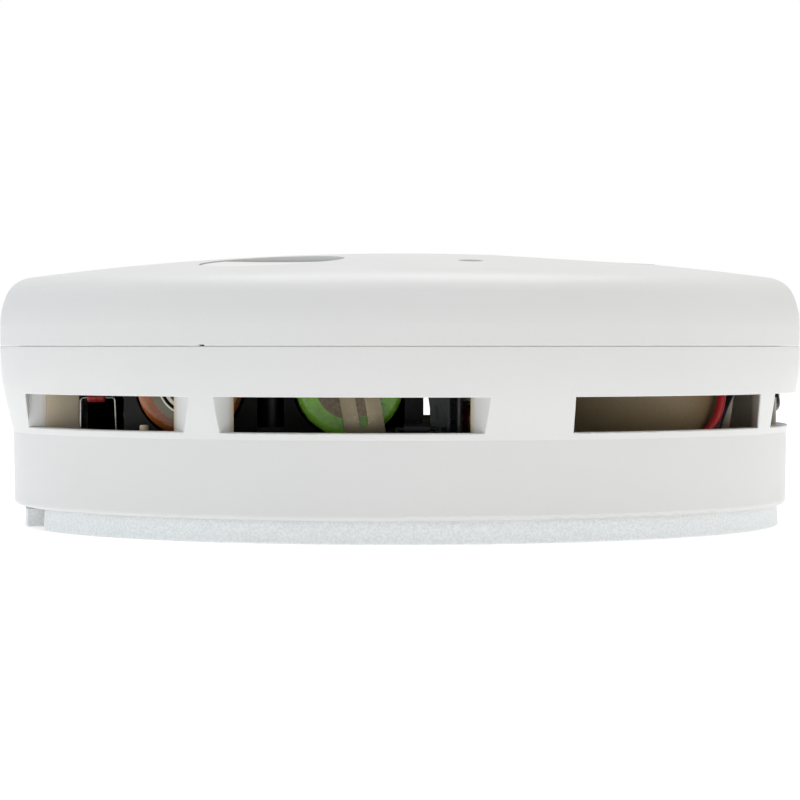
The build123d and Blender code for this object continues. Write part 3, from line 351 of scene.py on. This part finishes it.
SLOTS = {
    "white_cover": moulded("white_cover_plastic", cover_colour, 0.4, 0.3, 0.004, 0.012, 1.04),
    # The housing's inner walls get a darker warm tone, painted shade with warm bounced light inside it.
    "white_housing": moulded("white_housing_plastic", housing_colour, 0.44, 0.3, 0.004, 0.012, 1.04,
                             inside=(HOUSING_INNER_RADIUS, tone(206, 192, 164))),
    "cool_white_plate": mottled("cool_white_plastic", plate_colour),
    # The cover's white made 1.12 times lighter: a painted highlight for the brightly lit dish of the button.
    "button_white": moulded("button_plastic", scaled(cover_colour, 1.12), 0.34, 0.3, 0.003, 0.012, 1.04),
    "clear_pipe": clear("milky_acrylic", scaled(cover_colour, 1.02), 0.3, passes=0.15),
    "screw_steel": metal("zinc_screw_steel", tone(188, 186, 180), 0.3, (4.0, 4.0, 1.0)),
    "spring_steel": metal("spring_wire_steel", tone(178, 178, 176), 0.24, (3.0, 3.0, 3.0)),
    "board_laminate": laminate("board_lacquer", tone(38, 92, 58)),
    # Near-black, darker than black plastic is: partly the holder's own black, partly painted shade for the deep
    # battery bay.
    "holder_black": moulded("holder_plastic", tone(9, 9, 8), 0.62, 0.4, 0.006, 0.12, 1.6),
    # Rings on the orange cell's flat end: the two bright ones are painted highlights on the rounded cap and
    # crimp edges, the black one is painted shade in the groove, the rest are the plain and crimped steel.
    "cell_steel": cell_end("cell_can_steel", tone(116, 106, 90), ORANGE_CELL_X, ORANGE_CELL_Z, (
        (0.0, 3.1, tone(70, 76, 68)), (3.1, 3.6, tone(214, 214, 206)), (3.6, 4.02, tone(14, 14, 14)),
        (4.02, 4.3, tone(214, 212, 200)), (4.3, 5.3, tone(112, 110, 98)))),
    "sleeve_green": film("green_cell_film", tone(156, 228, 72)),
    "sleeve_orange": film("orange_cell_film", tone(176, 96, 40), 0.2),
    "nickel_strip": metal("nickel_strip", tone(158, 146, 122), 0.3, (10.0, 10.0, 1.0), stained=0.45),
    "chamber_black": moulded("chamber_plastic", tone(16, 16, 17), 0.6, 0.5, 0.01, 0.12, 1.5),
    "screen_black": moulded("screen_film", tone(34, 34, 36), 0.45, 0.3, 0.003, 0.1, 1.6),
    "optic_clear": clear("optic_epoxy", (0.80, 0.86, 0.96, 1.0), 0.08, 1.52),
    "optic_dark": moulded("optic_epoxy_dark", tone(20, 16, 22), 0.14, 0.6, 0.002, 0.08, 1.5),
    # Warm olive-brown: partly painted shade, standing in for the deep shade and warm bounced light on this part
    # inside the housing.
    "horn_olive": moulded("horn_plastic", tone(150, 128, 92), 0.5, 0.5, 0.01, 0.08, 1.25, speck=0.25),
    "piezo_brass": metal("sounder_brass", tone(206, 172, 92), 0.3, (6.0, 1.0, 1.0)),
    "piezo_white": moulded("sounder_ceramic", tone(206, 204, 198), 0.3, 0.2, 0.003, 0.03, 1.0),
    "lead_red": moulded("red_lead_vinyl", tone(206, 44, 52), 0.34, 0.5, 0.004, 0.05, 1.15),
    "lead_black": moulded("black_lead_vinyl", tone(26, 26, 27), 0.36, 0.5, 0.004, 0.1, 1.5),
    "switch_black": moulded("switch_plastic", tone(20, 19, 19), 0.42, 0.3, 0.004, 0.1, 1.5),
    "lamp_red": clear("lamp_epoxy_red", (0.85, 0.10, 0.08, 1.0), 0.1, 1.52),
    "capacitor_black": film("capacitor_film", tone(34, 36, 44), 0.3),
    "trimmer_grey": moulded("trimmer_plastic", tone(36, 44, 44), 0.4, 0.3, 0.004, 0.08, 1.3),
    "link_orange": painted("thermal_link_paint", tone(176, 52, 46), LINK_BODY_LOW, LINK_BODY_HIGH),
    "chip_black": moulded("chip_epoxy", tone(34, 34, 36), 0.45, 0.15, 0.004, 0.08, 1.4),
    "resistor_beige": painted("resistor_paint", tone(196, 172, 134), 32.4, 35.6, 12.8, (
        (32.9, tone(96, 52, 28)), (33.6, tone(30, 28, 26)),
        (34.3, tone(180, 92, 30)), (35.1, tone(168, 132, 60)))),
    "coil_copper": winding("coil_copper_wire", tone(186, 96, 52)),
}

slot_of = {part["node"]: part["material_slot"] for part in frame["record"]["subparts"]}
for name, piece in nodes.items():
    piece.data.materials.clear()
    piece.data.materials.append(SLOTS[slot_of[name]])


spring_node = nodes["button_spring"]
spring = bpy.data.objects.new("button_spring_coil", spring_node.data.copy())
bpy.context.scene.collection.objects.link(spring)
spring.matrix_world = spring_node.matrix_world
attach(spring, "detector")
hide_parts("button_spring")
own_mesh(spring)


# ---- The outer end of the rib beside the left vent, which meets the vent's jamb ----
RIB_LOW = (-51.2 * MM, -22.5 * MM, 14.4 * MM)
RIB_HIGH = (-48.8 * MM, -21.5 * MM, 18.9 * MM)
corners = [(x, y, z) for x in (RIB_LOW[0], RIB_HIGH[0]) for y in (RIB_LOW[1], RIB_HIGH[1])
           for z in (RIB_LOW[2], RIB_HIGH[2])]
sides = [(0, 1, 3, 2), (4, 6, 7, 5), (0, 4, 5, 1), (2, 3, 7, 6), (0, 2, 6, 4), (1, 5, 7, 3)]
rib_mesh = bpy.data.meshes.new("left_rib_end")
rib_mesh.from_pydata(corners, [], sides)
rib_end = bpy.data.objects.new("left_rib_end", rib_mesh)
bpy.context.scene.collection.objects.link(rib_end)
rib_end.data.materials.append(SLOTS["white_housing"])
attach(rib_end, "detector")


# ---- Floor, light and camera ----
def sheet_of(name, size, height):
    mesh = bpy.data.meshes.new(name)
    half = size / 2
    corners = [(-half, -half, height), (half, -half, height), (half, half, height), (-half, half, height)]
    mesh.from_pydata(corners, [], [(0, 1, 2, 3)])
    piece = bpy.data.objects.new(name, mesh)
    bpy.context.scene.collection.objects.link(piece)
    return piece


def floor_material():
    s = Shader("studio_floor")
    body = s.mix(s.noise(60.0, 3.0), (0.93, 0.93, 0.93, 1.0), (0.95, 0.95, 0.95, 1.0))
    s.set(Base_Color=body, Roughness=0.9)
    s.surface.inputs["Emission Color"].default_value = (1.0, 1.0, 1.0, 1.0)
    s.surface.inputs["Emission Strength"].default_value = 0.42
    s.surface.inputs["Specular IOR Level"].default_value = 0.0
    return s.material


SKY_LIGHT = 0.64
FRONT_LIGHT = 0.3
COOL_SIDE = (0.80, 0.88, 0.98, 1.0)
# Where the sky is dimmed towards -Y, and cooled towards -X, as parts of a unit direction.
FRONT_CORE, FRONT_EDGE = -0.95, -0.8
COOL_CORE, COOL_EDGE = -0.9, -0.3
FLOOR_SIZE = 12.0
FLOOR_HEIGHT = -0.00002
floor = sheet_of("studio_floor", FLOOR_SIZE, FLOOR_HEIGHT)
floor.data.materials.append(floor_material())

world = bpy.data.worlds.new("studio")
world.use_nodes = True
sky = world.node_tree.nodes["Background"]
sky.inputs["Color"].default_value = (1.0, 1.0, 1.0, 1.0)
seen = world.node_tree.nodes.new("ShaderNodeLightPath")
level = world.node_tree.nodes.new("ShaderNodeMapRange")
world.node_tree.links.new(seen.outputs["Is Camera Ray"], level.inputs["Value"])
level.inputs["To Max"].default_value = 1.0
ahead = world.node_tree.nodes.new("ShaderNodeTexCoord")
parts = world.node_tree.nodes.new("ShaderNodeSeparateXYZ")
world.node_tree.links.new(ahead.outputs["Generated"], parts.inputs["Vector"])
dimmed = world.node_tree.nodes.new("ShaderNodeMapRange")
world.node_tree.links.new(parts.outputs["Y"], dimmed.inputs["Value"])
dimmed.inputs["From Min"].default_value = FRONT_CORE
dimmed.inputs["From Max"].default_value = FRONT_EDGE
dimmed.inputs["To Min"].default_value = FRONT_LIGHT
dimmed.inputs["To Max"].default_value = SKY_LIGHT
world.node_tree.links.new(dimmed.outputs["Result"], level.inputs["To Min"])
side = world.node_tree.nodes.new("ShaderNodeMapRange")
world.node_tree.links.new(parts.outputs["X"], side.inputs["Value"])
side.inputs["From Min"].default_value = COOL_CORE
side.inputs["From Max"].default_value = COOL_EDGE
tint = world.node_tree.nodes.new("ShaderNodeMix")
tint.data_type = "RGBA"
tint.inputs[MIX_FIRST].default_value = COOL_SIDE
tint.inputs[MIX_SECOND].default_value = (1.0, 1.0, 1.0, 1.0)
world.node_tree.links.new(side.outputs["Result"], tint.inputs["Factor"])
world.node_tree.links.new(tint.outputs[MIX_RESULT], sky.inputs["Color"])
world.node_tree.links.new(level.outputs["Result"], sky.inputs["Strength"])
bpy.context.scene.world = world


def soft_light(name, place, aim, width, height, power, colour=(1.0, 1.0, 1.0)):
    data = bpy.data.lights.new(name, "AREA")
    data.shape = "RECTANGLE"
    data.size = width
    data.size_y = height
    data.energy = power
    data.color = colour
    lamp = bpy.data.objects.new(name, data)
    lamp.location = place
    lamp.rotation_mode = "QUATERNION"
    lamp.rotation_quaternion = (Vector(aim) - Vector(place)).to_track_quat("-Z", "Y")
    bpy.context.scene.collection.objects.link(lamp)


BODY_MIDDLE = (0.0, 0.0, 0.02)
soft_light("top_softbox", (0.0, 0.08, 0.75), BODY_MIDDLE, 0.8, 0.6, 3.9)
soft_light("left_fill", (-0.7, -0.25, 0.3), BODY_MIDDLE, 0.4, 0.4, 0.1, (0.8, 0.9, 1.0))

CAMERA_PLACE = (0.0, -0.460, 0.0255)
CAMERA_LENS = 142.7
CAMERA_DIP = 0.974  # degrees below level

camera_data = bpy.data.cameras.new("camera")
camera_data.lens = CAMERA_LENS
camera_data.sensor_width = 36.0
camera = bpy.data.objects.new("camera", camera_data)
camera.location = CAMERA_PLACE
camera.rotation_euler = (math.radians(90.0 - CAMERA_DIP), 0.0, 0.0)
bpy.context.scene.collection.objects.link(camera)
bpy.context.scene.camera = camera
bpy.context.scene.view_settings.view_transform = "Standard"
